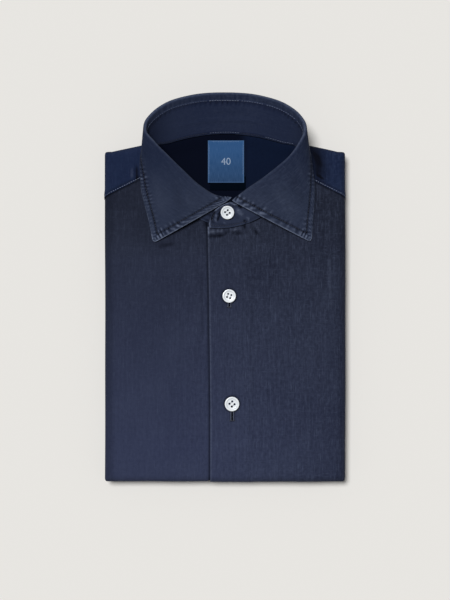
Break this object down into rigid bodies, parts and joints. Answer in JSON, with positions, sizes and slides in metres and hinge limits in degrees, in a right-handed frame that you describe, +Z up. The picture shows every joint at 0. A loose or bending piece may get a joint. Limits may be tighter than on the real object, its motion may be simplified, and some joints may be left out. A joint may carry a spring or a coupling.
{
  "type": "folded dress shirt",
  "caption": "Long-sleeved dress shirt with a pointed collar, buttoned and folded flat, lying on its back.",
  "frame": {"origin": "on the surface the folded shirt lies on, under the middle of its box", "axes": "+Z up from the surface, +Y from the lower fold towards the back of the collar, +X towards the wearer's left front, which laps over"},
  "size_m": [0.231, 0.3724, 0.0496],
  "materials": {
    "denim": "indigo chambray, washed, matte, with a fine weave",
    "denim_layers": "indigo chambray, folded edges",
    "denim_yoke": "indigo chambray, smoother and darker",
    "denim_inside": "indigo chambray, inside of the yoke",
    "denim_stand": "indigo chambray, stiffened, topstitched",
    "denim_collar": "indigo chambray, stiffened, topstitched, worn light along its edges",
    "label_blue": "blue satin, woven",
    "tab_black": "black satin",
    "pearl": "white, pearly, polished"
  },
  "bodies": {
    "root": {"right_front": "denim", "left_front": "denim", "yoke": "denim_yoke", "yoke_lining": "denim_inside", "collar_stand": "denim_stand", "collar_leaf": "denim_collar", "folded_layers": "denim_layers", "neck_label": "label_blue", "neck_tab": "tab_black", "collar_button": "pearl", "front_button_upper": "pearl", "front_button_lower": "pearl"}
  },
  "joints": []
}
